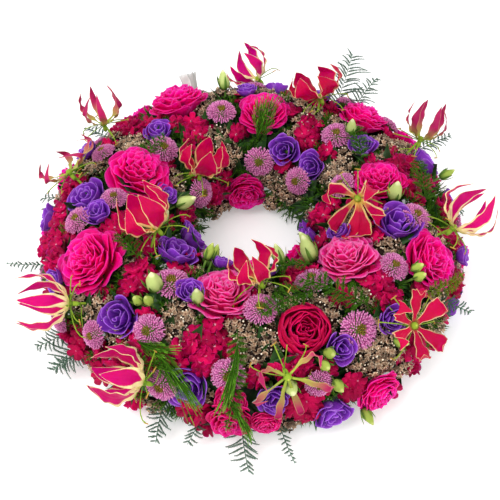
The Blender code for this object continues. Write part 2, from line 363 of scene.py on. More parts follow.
def add_round(shape, place, radii, tone, columns=8, rows=5, material=0):
    """A small ball with these three radii, with rise running from its base to its tip."""
    matrix = Matrix.LocRotScale(place, None, radii)
    made = bmesh.ops.create_uvsphere(shape.part(), u_segments=columns, v_segments=rows, radius=1)
    for vertex in made["verts"]:
        vertex[shape.layer] = (0.0, (vertex.co.z + 1) / 2, tone)
        vertex.co = matrix @ vertex.co
    painted(made, material)


def add_spike(shape, start, end, width, tone, end_width=0.0, sides=3, material=0, rises=(0.0, 1.0)):
    """A thin tapered needle, stalk or quill from start to end, with its rise at each."""
    along = end - start
    matrix = Matrix.Translation((start + end) / 2) @ facing(along)
    made = bmesh.ops.create_cone(
        shape.part(), cap_ends=True, segments=sides, radius1=width / 2, radius2=end_width / 2,
        depth=along.length, matrix=matrix,
    )
    for vertex in made["verts"]:
        at_start = (vertex.co - start).length < (vertex.co - end).length
        vertex[shape.layer] = (0.0, rises[0] if at_start else rises[1], tone)
    if material:
        painted(made, material)
    return made["verts"]


def add_stalk(shape, points, width, tone, sides=4, material=0):
    """A bent stalk through these points."""
    last = len(points) - 1
    for number, (start, end) in enumerate(zip(points, points[1:])):
        rises = (number / last, (number + 1) / last)
        add_spike(shape, start, end, width, tone, width * 0.95, sides, material, rises)


def add_stem(shape, length, top, width, end_width, tone, material=0, sides=6):
    """The stem up the middle, from its cut end this far down to this height."""
    add_spike(shape, UP * -length, UP * top, width, tone, end_width, sides, material)


def curve_point(points, share):
    """The point at this share of the Bezier curve with these control points."""
    level = [Vector(point) for point in points]
    while len(level) > 1:
        level = [first.lerp(second, share) for first, second in zip(level, level[1:])]
    return level[0]


def whorl_petal(shape, size, angle, half_angle, path, ruffle, waves, rng, columns=9, rows=6):
    """One petal of a cupped flower. The path is (radius, height) from its base to its rim."""
    phase, second = rng.angle(), rng.angle()
    notch = rng.uniform(0.02, 0.12)
    lean = rng.about(0.08)

    def surface(side, rise):
        here = rise * (1 - 0.12 * side * side - 0.20 * side**6 - notch * exp(-18 * side * side))
        radius, height = curve_point(path, here)
        edge = rise**2.5
        radius += ruffle * size * edge * sin(waves * side + phase)
        height += ruffle * size * edge * 0.8 * sin(waves * 1.37 * side + second)
        turn = angle + half_angle * side * (0.55 + 0.68 * rise - 0.26 * rise**4) + lean * edge
        return polar(radius, turn, height)

    add_petal(shape, columns, rows, surface, rng.random())


def add_calyx(shape, size, floor, stem_length, stem_width, rng):
    """The green cup under a flower, its five sepals and the stem down into the foam."""
    add_round(shape, (0, 0, floor), [size * 0.09] * 3, rng.random(), material=1)
    for number in range(5):
        angle = number * tau / 5 + rng.about(0.2)
        flare = rng.near(size * 0.30, 0.2)

        def surface(side, rise):
            reach = size * 0.05 + flare * sin(rise * 1.45)
            return polar(reach, angle + side * 0.42 * (1 - rise) ** 0.8, floor - size * (0.05 + 0.03 * rise))

        add_petal(shape, 2, 4, surface, rng.random(), material=1)
    add_stem(shape, stem_length, floor, stem_width, stem_width, 0.4, material=1)


def add_mat(shape, radius, height, rng, material):
    """The lumpy underside of a cluster, which closes the view between its florets; its dark finish is painted
    shade in the gaps between them.
    """
    made = bmesh.ops.create_uvsphere(shape.part(), u_segments=9, v_segments=6, radius=1)
    for vertex in made["verts"]:
        vertex[shape.layer] = (0.0, 0.0, rng.random())
        rough = rng.near(1, 0.12)
        x, y, z = vertex.co
        above = radius * z * (0.30 if z > 0 else 0.55) * rough
        vertex.co = (x * radius * rough, y * radius * rough, height + above)
    painted(made, material)


def add_floret(shape, place, direction, radius, outline, middle, rng, cup=None, ragged=0.0, shades=0.0):
    """A floret of five petals opened from its middle over a short cone. The outline goes round one petal, each
    (reach, height, place across the petal, rise), and the middle is its height and the cone's foot."""
    matrix = Matrix.Translation(place) @ facing(direction) @ Matrix.Rotation(rng.angle(), 4, "Z")
    tone = rng.random()
    lift = rng.uniform(*cup) if cup else 0.0
    count = 5 * len(outline)
    made = bmesh.ops.create_cone(
        shape.part(), cap_ends=True, cap_tris=True, segments=count, radius1=0, radius2=radius, depth=radius
    )
    for vertex in made["verts"]:
        x, y, z = vertex.co
        if hypot(x, y) < 0.1 * radius:
            vertex[shape.layer] = (0.0, 0.0, tone)
            vertex.co.z = radius * middle[0 if z > 0 else 1]
        else:
            petal, step = divmod(floor(atan2(y, x) / tau * count), len(outline))
            reach, height, side, rise = outline[step]
            if ragged:
                reach *= rng.near(1, ragged)
            vertex[shape.layer] = (side, rise, tone + shades * sin(petal))
            vertex.co = (x * reach, y * reach, radius * (lift + height))
        vertex.co = matrix @ vertex.co


def add_leaf(shape, matrix, length, width, bend, fold, rng):
    """One lance-shaped leaf along the matrix's +Z."""
    wave, phase = rng.uniform(0.02, 0.10), rng.angle()

    def surface(side, rise):
        wide = width / 2 * sin(pi * min(1, rise**0.75)) ** 0.8
        height = -bend * length * rise**2 + fold * wide * abs(side) + wave * wide * sin(9 * rise + phase) * side
        return matrix @ Vector((wide * side, height, length * rise))

    add_petal(shape, 2, 3, surface, rng.random())


# ---------------- flowers


def rose_shape(size, rng, stem_length, cupped=0.0, petals=42):
    """A full garden rose: a heart of folded petals with rolled lips inside broad guard petals.
    Cupped runs from 0, wide open, to 1, a ball whose outer petals still turn in."""
    shape = Shape()
    half = size / 2
    floor = -0.36 * size
    for age, turn in spiral(petals, 0.35):
        guard = age > 0.68
        reach = half * rng.near(0.03 + 0.84 * age**0.78, 0.06)
        lip = half * (0.07 + 0.13 * age)
        crown = size * (0.11 - 0.27 * age**2.2 + rng.about(0.028))
        opened = (
            (half * 0.04, floor),
            (reach * 0.80, floor * 0.80),
            (reach * 0.92, crown + lip * 0.9),
            (reach + lip * 1.08, crown - lip * 0.1),
        )
        balled = (
            (half * 0.04, floor),
            (reach * 1.25, floor * 0.95),
            (reach * 1.26, crown + size * 0.10),
            (reach * 0.92, crown + size * 0.08 * age),
        )
        path = [Vector(first).lerp(Vector(second), cupped) for first, second in zip(opened, balled)]
        half_angle = rng.near(1.25 - (0.60 - 0.25 * cupped) * age**0.6, 0.12)
        turn += rng.about(0.35)
        waves = rng.near(3.2 if guard else 4.4, 0.35)
        columns, rows = (9, 6) if guard else (6, 4)
        whorl_petal(shape, size, turn, half_angle, path, 0.030 + 0.010 * (1 - age), waves, rng, columns, rows)
    add_calyx(shape, size * 0.8, floor, stem_length, 0.0050, rng)
    return shape


def lisianthus_shape(size, rng, stem_length, petals=12):
    """A ruffled violet cup: broad petals wound round each other, with rolled wavy edges."""
    shape = Shape()
    half = size / 2
    floor = -0.42 * size
    for age, turn in spiral(petals, 0.3):
        reach = half * rng.near(0.16 + 0.88 * age**0.85, 0.05)
        crown = size * (0.02 + 0.06 * age - 0.17 * age**2 + rng.about(0.02))
        path = (
            (half * 0.08, floor),
            (reach * 0.92, floor * 0.92),
            (reach * (0.96 - 0.10 * age), crown + size * 0.06 * age),
            (reach * (0.92 + 0.12 * age), crown),
        )
        whorl_petal(shape, size, turn * 0.98, 1.30 - 0.50 * age, path, 0.032, rng.near(3.2, 0.25), rng)
    add_calyx(shape, size * 0.8, floor, stem_length, 0.0036, rng)
    return shape


def chrysanthemum_shape(size, rng, stem_length, quills=250, disc=28):
    """A button head: hundreds of short spooned quills domed round a small disc of tubes."""
    shape = Shape()
    half = size / 2
    for age, angle in spiral(quills):
        slope = 0.34 + 1.28 * age**0.62
        angle += rng.about(0.08)
        outward = polar(sin(slope), angle, cos(slope) * 0.66)
        across = Vector((-sin(angle), cos(angle), 0))
        tip = outward * half * rng.near(0.80 + 0.20 * age, 0.06) - UP * (size * 0.20)
        root = outward * half * 0.30 - UP * (size * 0.24)
        width = size * rng.near(0.021, 0.15)
        for vertex in add_spike(shape, root, tip, width * 0.7, rng.random(), width * 2, sides=4):
            if vertex[shape.layer].y > 0.5:
                spooned = abs((vertex.co - tip).dot(across))
                vertex.co += (outward * 0.6 + UP) * 0.9 * spooned
    for age, angle in spiral(disc):
        reach = half * 0.24 * sqrt(age)
        foot = polar(reach, angle, -size * 0.06)
        tip = foot + polar(0.2 * reach, angle, size * (0.085 + 0.02 * age))
        add_spike(shape, foot, tip, size * 0.040, rng.random(), size * 0.026, sides=4, material=1)
    add_round(shape, (0, 0, -size * 0.22), (half * 0.72, half * 0.72, half * 0.36), 0.2, 12, 6, material=2)
    add_stem(shape, stem_length, -size * 0.25, 0.0034, 0.0034, 0.4, material=2)
    return shape


def lily_shape(spread, sweep, breadth, turn, hang, front, rng):
    """A flame lily: six waved petals swept back from a green hub with their tips curled in, six long
    stamens and a bent style. Hang draws its petals round to the angle of its front, or below 0 away from it."""
    shape = Shape()
    for number in range(6):
        angle = turn + number * pi / 3 + rng.about(0.12)
        angle += hang * sin(front - angle)
        outward = polar(1, angle)
        across = Vector((-sin(angle), cos(angle), 0))
        width = rng.near(breadth / 2, 0.12)
        waves, phase, second = rng.near(21, 0.15), rng.angle(), rng.angle()
        reach, rear = rng.near(spread, 0.05), rng.near(sweep, 0.06)
        tip_curl = rng.uniform(0.2, 0.9)
        drift = rng.about(0.28)
        hook = rng.about(0.9)
        sway = rng.about(0.06)

        def surface(side, rise):
            tip = max(0, rise - 0.5) ** 2
            out = sin(min(1.0, rise * 1.30) * pi / 2) - 0.12 * rise**3 - 1.8 * tip_curl * tip
            back = 0.12 * rise + 0.88 * rise**1.5
            swing = drift * reach * rise**2 + sway * rear * sin(5 * rise) + hook * reach * tip
            centre = outward * (0.0035 + reach * out) + UP * rear * back + across * swing
            wide = width * max(0.34 * (1 - rise), sin(pi * rise**1.05) ** 0.9)
            edge = abs(side) ** 1.5 * min(1, rise * 4) * min(1, (1 - rise) * 4)
            wave = edge * 0.0016 * sin(waves * rise + (phase if side > 0 else second))
            normal = (outward * (0.25 + 0.75 * rise) - UP * (0.9 - 0.6 * rise)).normalized()
            keel = -0.25 * width * (1 - side * side) * sin(pi * rise)
            return centre + across * wide * side + normal * (wave + keel)

        add_petal(shape, 6, 24, surface, rng.random())
    for number in range(6):
        angle = (number + 0.5) * pi / 3 + rng.about(0.25)
        add_stamen(shape, angle, rng.near(0.032, 0.12), rng)
    add_round(shape, (0, 0, 0), (0.0040, 0.0040, 0.0042), rng.random(), material=1)
    add_round(shape, (0, 0, -0.006), (0.0026, 0.0026, 0.0055), rng.random(), material=1)
    aside = polar(1, rng.angle())
    bends = ((0, -0.010), (0.004, -0.0125), (0.014, -0.013), (0.026, -0.015))
    add_stalk(shape, [aside * out + UP * down for out, down in bends], 0.0012, 0.3, material=1)
    return shape


def add_stamen(shape, angle, length, rng):
    """A long filament that arches away from the petals, with its anther balanced on the tip."""
    outward = polar(1, angle)
    droop = rng.uniform(-0.05, 0.55)
    points = []
    for step in range(6):
        share = step / 5
        reach = outward * length * sin(share * pi / 2)
        points.append(reach - UP * (length * droop * share**1.6 + 0.001))
    add_stalk(shape, points, 0.0012, 0.7, material=1)
    across = Vector((-outward.y, outward.x, 0))
    tilt = (across - UP * rng.about(0.5)).normalized() * 0.0034
    add_spike(shape, points[-1] - tilt, points[-1] + tilt, 0.0016, 1.0, 0.0010, sides=4, material=2)


DIANTHUS_FLORET = 0.0102  # radius
# Round one petal of a floret: each (reach, height, place across the petal, rise)
STAR_OUTLINE = ((1.0, 0.55, 0, 1.0), (0.66, 0.15, 0, 0.5))
DIANTHUS_OUTLINE = (
    (0.50, -0.16, 1.0, 0.50), (0.90, 0.02, 0.7, 0.90), (1.0, 0.10, 0.35, 1.0),
    (0.96, 0.15, 0, 0.96), (1.0, 0.10, 0.35, 1.0), (0.90, 0.02, 0.7, 0.90),
)


def sedum_shape(size, rng, stem_length, stalks=7):
    """A flat cluster of small five-pointed star florets and round buds over a mat of stalks, painted dark as
    shade.
    """
    shape = Shape()
    hub = UP * (-size * 0.50)
    add_mat(shape, size * 0.40, -size * 0.19, rng, material=1)
    for number, (age, angle) in enumerate(spiral(int(58 * (size / 0.036) ** 1.8))):
        angle += rng.about(0.25)
        reach = size / 2 * sqrt(age) * rng.near(1, 0.09)
        top = polar(reach, angle, -size * 0.24 * age**1.5 + rng.uniform(-0.0040, 0.0028))
        if age > 0.5:
            add_spike(shape, hub + (top - hub) * 0.5, top, 0.0012, rng.random(), 0.0010, material=1)
        if number % 4 == 3:
            add_round(shape, top, [0.0013] * 3, rng.near(0.5, 0.5), 5, 4)
            continue
        tilt = polar(reach * 0.9, angle, size * 0.42).normalized()
        tilt += Vector((rng.about(0.5), rng.about(0.5), 0))
        add_floret(shape, top, tilt, rng.near(0.0034, 0.22), STAR_OUTLINE, (0.15, -0.5), rng)
    for number in range(stalks):
        end = polar(size * 0.30, number * tau / stalks, -size * 0.18)
        add_spike(shape, hub, end, 0.0024, 0.3, 0.0016, sides=4, material=1)
    add_stem(shape, stem_length, hub.z, 0.0034, 0.0030, 0.3, material=2)
    return shape


def dianthus_shape(size, rng, stem_length, bracts=9):
    """A cluster of flat toothed florets with a pale eye, over a mat painted dark as shade and narrow green
    bracts.
    """
    shape = Shape()
    hub = UP * (-size * 0.50)
    add_mat(shape, size * 0.38, -size * 0.22, rng, material=2)
    for age, angle in spiral(max(3, int(2.6 * (size / 2 / DIANTHUS_FLORET) ** 2)), 0.3):
        angle += rng.about(0.15)
        reach = (size / 2 - DIANTHUS_FLORET * 0.40) * sqrt(age)
        top = polar(reach, angle, -size * 0.20 * age**1.5 + rng.uniform(-0.0040, 0.0034))
        add_spike(shape, hub + (top - hub) * 0.4, top, 0.0024, rng.random(), 0.0030, sides=4, material=2)
        tilt = polar(reach, angle, size * 0.50)
        tilt += Vector((rng.about(1), rng.about(1), 0)) * size * 0.28
        radius = rng.near(DIANTHUS_FLORET, 0.14)
        add_floret(shape, top, tilt, radius, DIANTHUS_OUTLINE, (0, -1), rng, (-0.10, 0.25), 0.05, 0.3)
    for number in range(bracts):
        angle = number * tau / bracts + rng.about(0.2)
        end = polar(size * 0.46, angle, -size * rng.uniform(0.02, 0.30))
        add_spike(shape, hub, end, 0.0034, rng.random(), material=1)
    add_stem(shape, stem_length, hub.z, 0.0034, 0.0032, 0.3, material=1)
    return shape


def bud_shape(size, rng, stem_length):
    """A closed bud: petals furled in a twist to a point, over five narrow sepals."""
    shape = Shape()
    made = bmesh.ops.create_uvsphere(shape.part(), u_segments=15, v_segments=10, radius=1)
    tone, twist = rng.random(), rng.choice((-1, 1)) * 2.4
    for vertex in made["verts"]:
        rise = (vertex.co.z + 1) / 2
        angle = atan2(vertex.co.y, vertex.co.x)
        fold = 1 + 0.16 * abs(sin(1.5 * (angle + twist * rise)))
        girth = hypot(vertex.co.x, vertex.co.y) * fold * (1 - 0.70 * rise**1.3)
        vertex[shape.layer] = (0.0, rise, tone)
        vertex.co = polar(size * 0.32 * girth, angle, size * (rise - 0.55))
    for number in range(5):
        angle = number * tau / 5 + 0.3
        flare = rng.uniform(0.0, 0.14)

        def surface(side, rise):
            girth = size * (0.08 + 0.24 * sin(pi * min(0.60, 0.12 + rise * 0.55)) + flare * rise**2)
            return polar(girth, angle + side * 0.30 * (1 - rise) ** 0.7, size * (-0.56 + 0.72 * rise))

        add_petal(shape, 2, 5, surface, rng.random(), material=1)
    add_stem(shape, stem_length, -size * 0.5, 0.0026, 0.0026, 0.5, material=1)
    return shape


def tube_shape(size, rng, stem_length):
    """A pale upright bloom, still closed to a tube with a flared rim."""
    shape = Shape()
    outline = ((0.10, -0.55), (0.34, -0.40), (0.24, 0.15), (0.34, 0.45))
    path = [(size * radius, size * height) for radius, height in outline]
    for number in range(6):
        whorl_petal(shape, size, number * tau / 6, 0.75, path, 0.03, 3.0, rng, 7)
    add_calyx(shape, size, -size * 0.55, stem_length, 0.0032, rng)
    return shape


def fern_shape(length, width, rng, droop, fluff, needle, spacing):
    """A feathery frond along +Z, spread across X: side branches this far apart, set with fine needles.
    Fluff is how far the needles stand out of the frond's plane."""
    shape = Shape()
    branches = max(8, int(2 * length / spacing))
    sway = rng.choice((-1, 1)) * rng.uniform(0.08, 0.22)

    def spine(share):
        return Vector((sway * length * share**2, -droop * length * share**2, length * share))

    add_stalk(shape, [spine(step / 8) for step in range(9)], 0.0011, 0.2)
    for number in range(branches):
        share = 0.03 + 0.97 * (number + rng.about(0.35)) / branches
        side = 1 if number % 2 else -1
        start = spine(share)
        reach = width / 2 * sin(pi * (0.22 + 0.74 * share)) ** 0.7 * rng.near(1, 0.28)
        aim = Vector((side * rng.near(1, 0.1), rng.uniform(-0.3, 0.5) * fluff, rng.uniform(0.65, 1.15)))
        aim.normalize()
        bend = Vector((side * 0.1, rng.uniform(-0.4, 0.1), -rng.uniform(0.05, 0.45)))

        def branch(along):
            return start + (aim * along + bend * along**2) * reach

        add_stalk(shape, [branch(along) for along in (0, 0.35, 0.7, 1)], 0.0006, 0.4, sides=3)
        needles = max(4, int(reach / NEEDLE_PITCH))
        for count in range(needles):
            along = 0.04 + 0.96 * count / needles
            root = branch(along)
            way = 1 if count % 2 else -1
            out_of_plane = Vector((0, rng.about(1) * fluff, 0))
            turned = aim + bend * along + Vector((-aim.z, 0, aim.x)) * way * 0.6 + out_of_plane
            tip = root + turned.normalized() * rng.near(needle, 0.25) * (1.1 - 0.6 * along)
            add_spike(shape, root, tip, NEEDLE_WIDTH, rng.random())
    return shape


def brush_shape(length, width, rng, needles=64):
    """A brush of long fine needles that leave their stalk close along it, all swept the same way."""
    shape = Shape()
    curl = rng.choice((-1, 1)) * rng.uniform(0.10, 0.20)
    for number in range(needles):
        foot = rng.uniform(0.0, 0.55) * length
        reach = rng.near(0.42, 0.25) * length
        turn = rng.uniform(0, tau)
        away = width / 2 * sqrt(rng.random())
        tone = rng.random()
        points = []
        for step in range(3):
            share = step / 2
            along = foot + reach * share
            out = away * sin(share * pi / 2)
            bent = curl * along * along / length
            points.append(Vector((out * cos(turn) + bent, 0.6 * out * sin(turn), along)))
        add_stalk(shape, points, NEEDLE_WIDTH * 0.8, tone, sides=3)
    return shape


def sprig_shape(size, rng, stem_length, stalks=7, needles=10):
    """A small upright tuft of needles."""
    shape = Shape()
    hub = UP * (-size * 0.6)
    for number in range(stalks):
        lean = 0.12 + 0.10 * number
        aim = polar(sin(lean), number * GOLDEN_ANGLE, cos(lean))
        end = hub + aim * size * rng.near(0.75, 0.15)
        add_spike(shape, hub, end, 0.0012, 0.3, 0.0006)
        for count in range(needles):
            root = hub.lerp(end, 0.30 + 0.70 * count / needles)
            turned = aim + Vector((rng.about(1), rng.about(1), rng.uniform(-0.2, 0.6)))
            tip = root + turned.normalized() * rng.near(0.0070, 0.25)
            add_spike(shape, root, tip, 0.0011, rng.random())
    add_stem(shape, stem_length, hub.z, 0.0020, 0.0018, 0.3, sides=5)
    return shape


# ---------------- materials


def fill(tree, node, inputs):
    """Fills or links these inputs of a node."""
    for name, value in inputs.items():
        if isinstance(value, bpy.types.NodeSocket):
            tree.links.new(value, node.inputs[name])
        else:
            node.inputs[name].default_value = value


def linked(tree, kind, inputs=None, **settings):
    """A node of this kind with its settings made and its inputs filled or linked."""
    made = tree.nodes.new(kind)
    for name, value in settings.items():
        setattr(made, name, value)
    fill(tree, made, inputs or {})
    return made


def calculated(tree, operation, *values):
    """The result of a Math node."""
    return linked(tree, "ShaderNodeMath", dict(enumerate(values)), operation=operation).outputs[0]


def ranged(tree, value, low, high, to_low=0.0, to_high=1.0):
    """A value brought from one range to another with soft ends."""
    inputs = {"Value": value, "From Min": low, "From Max": high, "To Min": to_low, "To Max": to_high}
    return linked(tree, "ShaderNodeMapRange", inputs, interpolation_type="SMOOTHSTEP").outputs["Result"]


def mixed(tree, share, first, second):
    """The colour between two."""
    return linked(tree, "ShaderNodeMix", {0: share, 6: first, 7: second}, data_type="RGBA").outputs[2]


def noise(tree, scale, detail):
    """Noise over the piece's own place."""
    coords = linked(tree, "ShaderNodeTexCoord").outputs["Object"]
    inputs = {"Vector": coords, "Scale": scale, "Detail": detail}
    return linked(tree, "ShaderNodeTexNoise", inputs).outputs["Fac"]


def raised(tree, height, strength, distance):
    """The normal over a raised pattern."""
    inputs = {"Height": height, "Strength": strength, "Distance": distance}
    return linked(tree, "ShaderNodeBump", inputs).outputs["Normal"]


def new_material(name):
    """(material, its tree, its shader)."""
    material = bpy.data.materials.new(name)
    material.use_nodes = True
    return material, material.node_tree, material.node_tree.nodes["Principled BSDF"]


def petal_group():
    """Petal colours: a throat, a body and an edge, toned petal by petal, with fine veins as height.
    The edge is its widest at the petal's base and narrows to its tip."""
    group = bpy.data.node_groups.new("petal tones", "ShaderNodeTree")
    maths = partial(calculated, group)
    values = ("Edge Width", "Edge At Base", "Edge Blur", "Throat Height", "Tone Range", "Vein Count")
    for way, kind, names in (
        ("INPUT", "Color", ("Body", "Edge", "Throat")),
        ("INPUT", "Float", values),
        ("OUTPUT", "Color", ("Color",)),
        ("OUTPUT", "Float", ("Height",)),
    ):
        for name in names:
            group.interface.new_socket(name, in_out=way, socket_type="NodeSocket" + kind)
    given = group.nodes.new("NodeGroupInput").outputs
    place = linked(group, "ShaderNodeAttribute", attribute_name="petal").outputs["Vector"]
    parts = linked(group, "ShaderNodeSeparateXYZ", {"Vector": place}).outputs
    cloudy = noise(group, 160.0, 3.0)
    uneven = maths("MULTIPLY_ADD", cloudy, 0.16, -0.08)
    side = maths("ABSOLUTE", parts["X"])
    rim = maths("MAXIMUM", side, maths("POWER", parts["Y"], 3.0))
    rim = maths("ADD", rim, uneven)
    low = maths("POWER", maths("SUBTRACT", 1.0, parts["Y"]), 3.0)
    width = maths("MULTIPLY_ADD", low, given["Edge At Base"], given["Edge Width"])
    start = maths("SUBTRACT", 1.0, width)
    inner, outer = (maths(way, start, given["Edge Blur"]) for way in ("SUBTRACT", "ADD"))
    edge_mask = ranged(group, rim, inner, outer)
    rise = maths("ADD", parts["Y"], uneven)
    throat_mask = ranged(group, rise, 0.0, given["Throat Height"], 1.0, 0.0)
    shade = mixed(group, edge_mask, given["Body"], given["Edge"])
    shade = mixed(group, throat_mask, shade, given["Throat"])
    tone = maths("ADD", parts["Z"], maths("SUBTRACT", cloudy, 0.5))
    swing = maths("MULTIPLY", maths("SUBTRACT", tone, 0.5), given["Tone Range"])
    lit = linked(group, "ShaderNodeHueSaturation", {"Color": shade, "Value": maths("ADD", 1.0, swing)})
    stripes = maths("MULTIPLY", parts["X"], given["Vein Count"])
    veins = maths("SINE", maths("MULTIPLY_ADD", cloudy, 2.5, stripes))
    out = group.nodes.new("NodeGroupOutput")
    fill(group, out, {"Color": lit.outputs["Color"], "Height": veins})
    return group


def petal_material(name, node_tree, body, edge, throat, rim=0.2, base_rim=0.0, blur=0.12, deep=0.5, tones=0.35,
                   veins=18.0, roughness=0.6, gloss=0.10, soft=0.0):
    """A petal's finish from the colours of its body, edge and throat, with its veins raised a little. Its rim
    is how wide the edge is, base_rim how much wider at the base, and deep how far up the throat reaches."""
    material, tree, shader = new_material(name)
    group = linked(tree, "ShaderNodeGroup", node_tree=node_tree)
    colors = [(*color, 1) for color in (body, edge, throat)]
    fill(tree, group, dict(enumerate((*colors, rim, base_rim, blur, deep, tones, veins))))
    height = group.outputs["Height"]
    fill(tree, shader, {
        "Base Color": group.outputs["Color"],
        "Normal": raised(tree, height, 0.25, 0.0003),
        "Roughness": ranged(tree, height, -1.0, 1.0, roughness + 0.06, roughness - 0.06),
        "Specular IOR Level": gloss,
        "Subsurface Weight": soft,
        "Subsurface Radius": (0.8, 0.5, 0.8),
        "Subsurface Scale": 0.005,
    })
    return material


def grained_material(name, dark, light, scale, roughness, bump, distance):
    """A finish mottled between two colours, with its grain raised."""
    material, tree, shader = new_material(name)
    coarse, fine = noise(tree, scale * 0.1, 4.0), noise(tree, scale, 3.0)
    share = calculated(tree, "MULTIPLY_ADD", fine, 0.6, calculated(tree, "MULTIPLY_ADD", coarse, 0.9, -0.25))
    fill(tree, shader, {
        "Base Color": mixed(tree, share, (*dark, 1), (*light, 1)),
        "Normal": raised(tree, fine, bump, distance),
        "Roughness": ranged(tree, coarse, 0.3, 0.7, roughness - 0.08, roughness + 0.08),
    })
    return material


# Petal finishes: the colours of a petal's body, edge and throat, then what isn't as on a plain petal
ROSE = {"rim": 0.12, "tones": 0.30, "soft": 0.8}
LILY = {"blur": 0.05, "veins": 14.0, "roughness": 0.5, "soft": 0.3}
FERN = {"rim": 0.5, "tones": 0.7}
PETALS = {
    # The roses' lighter edge colours are painted highlights along the crests of their petals.
    "rose pink": ((0.93, 0, 0.155), (0.96, 0.02, 0.25), (0.94, 0, 0.14), ROSE),
    "rose light": (
        (0.95, 0.012, 0.20), (0.97, 0.09, 0.32), (0.94, 0.004, 0.17), ROSE | {"rim": 0.25, "tones": 0.28},
    ),
    "rose deep": ((0.64, 0, 0.09), (0.74, 0.02, 0.15), (0.62, 0, 0.08), ROSE | {"soft": 0.6}),
    "rose crimson": ((0.49, 0, 0.04), (0.58, 0.002, 0.072), (0.40, 0, 0.03), {"soft": 0.4}),
    # The lisianthus's lighter edge is a painted highlight on its petals' rims, and its dark throat is painted
    # shade deep in its cup.
    "lisianthus violet": (
        (0.195, 0.029, 0.455), (0.32, 0.105, 0.62), (0.06, 0.006, 0.16), {"deep": 0.6, "soft": 0.3},
    ),
    "chrysanthemum mauve": (
        (0.60, 0.13, 0.39), (0.77, 0.29, 0.55), (0.33, 0.034, 0.19), {"rim": 0.25, "deep": 0.75},
    ),
    "chrysanthemum disc": ((0.20, 0.13, 0.02), (0.36, 0.26, 0.04), (0.08, 0.05, 0.01), {"tones": 0.6}),
    "lily": (
        (0.50, 0, 0.042), (0.88, 0.56, 0.22), (0.70, 0.44, 0.06),
        LILY | {"rim": 0.05, "base_rim": 0.6, "deep": 0.2},
    ),
    "lily red": (
        (0.47, 0, 0.03), (0.88, 0.56, 0.26), (0.30, 0.12, 0.03),
        LILY | {"rim": 0.035, "base_rim": 0.22, "deep": 0.08},
    ),
    "lily striped": (
        (0.50, 0, 0.085), (0.90, 0.68, 0.30), (0.62, 0.66, 0.12),
        LILY | {"rim": 0.06, "base_rim": 1.4, "blur": 0.06, "deep": 0.22},
    ),
    "lily dusty": (
        (0.44, 0.016, 0.105), (0.58, 0.26, 0.16), (0.36, 0.46, 0.05),
        LILY | {"rim": 0.06, "base_rim": 0.6, "blur": 0.08, "deep": 0.6, "soft": 0.0},
    ),
    "lily hub": ((0.26, 0.40, 0.03), (0.62, 0.50, 0.10), (0.10, 0.24, 0.02), {"rim": 0.1, "veins": 6.0}),
    "anther": ((0.44, 0.24, 0.05), (0.60, 0.38, 0.08), (0.40, 0.20, 0.04), {}),
    # The star's dark throat is painted shade in the middle of each floret; its cream edge is its own colour.
    "sedum star": ((0.46, 0.31, 0.20), (0.97, 0.89, 0.72), (0.12, 0.04, 0.02), {"rim": 0.42, "tones": 1.3}),
    # The sedum's stalks and its mat: near black, painted shade between the florets.
    "sedum stalk painted shade": (
        (0.036, 0.012, 0.007), (0.09, 0.035, 0.02), (0.018, 0.008, 0.005), {"rim": 0.05, "tones": 0.8},
    ),
    "dianthus magenta": (
        (0.42, 0, 0.055), (0.56, 0.004, 0.105), (0.84, 0.42, 0.58),
        {"deep": 0.2, "tones": 0.8, "veins": 9.0, "soft": 0.4},
    ),
    "dianthus crimson": (
        (0.40, 0, 0.05), (0.50, 0.003, 0.085), (0.60, 0.22, 0.34), {"deep": 0.14, "tones": 0.5, "veins": 9.0},
    ),
    # The dianthus's floret stalks and its mat: dark red, painted shade between the florets.
    "dianthus stalk painted shade": ((0.10, 0.002, 0.012), (0.16, 0.006, 0.025), (0.08, 0.002, 0.01), {"tones": 0.8}),
    "bud cream": ((0.50, 0.60, 0.20), (0.72, 0.76, 0.40), (0.20, 0.34, 0.05), {"rim": 0.35, "tones": 0.3}),
    "bud green": ((0.36, 0.48, 0.08), (0.54, 0.62, 0.18), (0.15, 0.28, 0.04), {"rim": 0.35}),
    "pale bloom": ((0.50, 0.50, 0.48), (0.62, 0.62, 0.60), (0.34, 0.36, 0.30), {"deep": 0.6}),
    "stalk green": ((0.10, 0.21, 0.03), (0.17, 0.30, 0.05), (0.06, 0.13, 0.02), {"tones": 0.5}),
    "leaf green": (
        (0.018, 0.062, 0.012), (0.035, 0.11, 0.02), (0.01, 0.035, 0.007),
        {"tones": 0.8, "roughness": 0.5, "gloss": 0.3},
    ),
    "fern green": ((0.055, 0.175, 0.008), (0.13, 0.33, 0.02), (0.036, 0.11, 0.006), FERN | {"tones": 0.9}),
    "fern olive": ((0.17, 0.25, 0.01), (0.28, 0.38, 0.03), (0.09, 0.15, 0.006), FERN),
    "fern grey": ((0.10, 0.19, 0.13), (0.20, 0.33, 0.24), (0.08, 0.15, 0.10), FERN | {"tones": 0.5}),
}
# Grained finishes: dark and light colour, the grain's scale, roughness, the grain's strength and height
GRAINS = {
    "floral foam": ((0.010, 0.045, 0.018), (0.028, 0.10, 0.040), 900.0, 0.9, 0.5, 0.0008),
    "tray plastic": ((0.010, 0.022, 0.014), (0.018, 0.034, 0.022), 300.0, 0.45, 0.15, 0.0002),
}


def make_materials():
    """Every finish on the wreath, by name."""
    group = petal_group()
    made = {name: grained_material(name, *values) for name, values in GRAINS.items()}
    for name, (*colors, values) in PETALS.items():
        made[name] = petal_material(name, group, *colors, **values)
    return made


# ---------------- the wreath


BUTTON_FINISHES = ("chrysanthemum mauve", "chrysanthemum disc", "stalk green")


